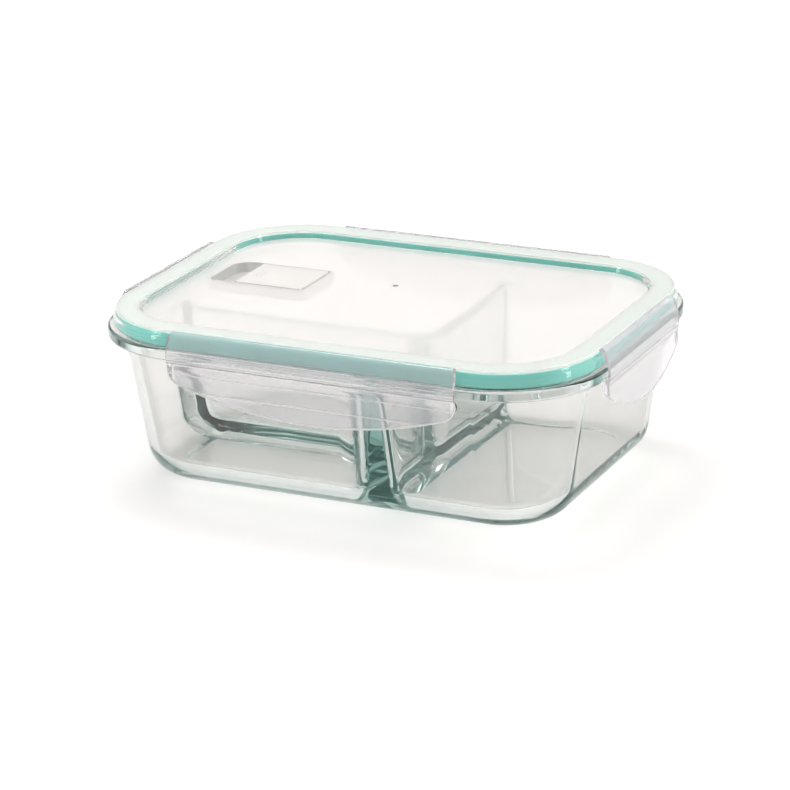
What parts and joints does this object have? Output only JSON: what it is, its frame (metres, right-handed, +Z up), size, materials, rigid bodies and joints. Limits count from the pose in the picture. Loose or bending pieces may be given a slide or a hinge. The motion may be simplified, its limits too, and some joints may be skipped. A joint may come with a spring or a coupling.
{
  "type": "glass food container",
  "caption": "Rectangular glass food box with divided compartments, a clip-on sealed lid, hinged side latches and a flip-up steam vent.",
  "frame": {"origin": "centre of the underside of the glass, under the middle of the whole object", "axes": "+X along the long side to the right, -Y towards the front, +Z up"},
  "size_m": [0.228, 0.171, 0.074],
  "materials": {
    "clear_glass": "clear pressed glass, faint green tint in thick sections",
    "lid_plastic": "translucent clear panel with a frosted rim band",
    "teal_silicone": "satin silicone",
    "latch_plastic": "milky translucent moulding",
    "flap_plastic": "translucent moulding",
    "white_silicone": "satin silicone"
  },
  "bodies": {
    "container": {"glass_container": "clear_glass"},
    "lid": {"lid_shell": "lid_plastic", "lid_seal": "teal_silicone"},
    "front_latch": {"latch_front": "latch_plastic"},
    "back_latch": {"latch_back": "latch_plastic"},
    "left_latch": {"latch_left": "latch_plastic"},
    "right_latch": {"latch_right": "latch_plastic"},
    "vent": {"vent_flap": "flap_plastic", "vent_plug": "white_silicone"}
  },
  "joints": [
    {"name": "lid_lift", "type": "slide", "parent": "container", "child": "lid", "axis": [0, 0, 1], "range_m": [0, 0.06]},
    {"name": "front_latch_hinge", "type": "hinge", "parent": "lid", "child": "front_latch", "pos_m": [0, -0.0804, 0.0734], "axis": [-1, 0, 0], "range_deg": [0, 115]},
    {"name": "back_latch_hinge", "type": "hinge", "parent": "lid", "child": "back_latch", "pos_m": [0, 0.0804, 0.0734], "axis": [1, 0, 0], "range_deg": [0, 115]},
    {"name": "left_latch_hinge", "type": "hinge", "parent": "lid", "child": "left_latch", "pos_m": [-0.1089, 0, 0.0734], "axis": [0, 1, 0], "range_deg": [0, 115]},
    {"name": "right_latch_hinge", "type": "hinge", "parent": "lid", "child": "right_latch", "pos_m": [0.1089, 0, 0.0734], "axis": [0, -1, 0], "range_deg": [0, 115]},
    {"name": "vent_flap_hinge", "type": "hinge", "parent": "lid", "child": "vent", "pos_m": [-0.0458, 0.01225, 0.0697], "axis": [0, 1, 0], "range_deg": [0, 95]}
  ]
}
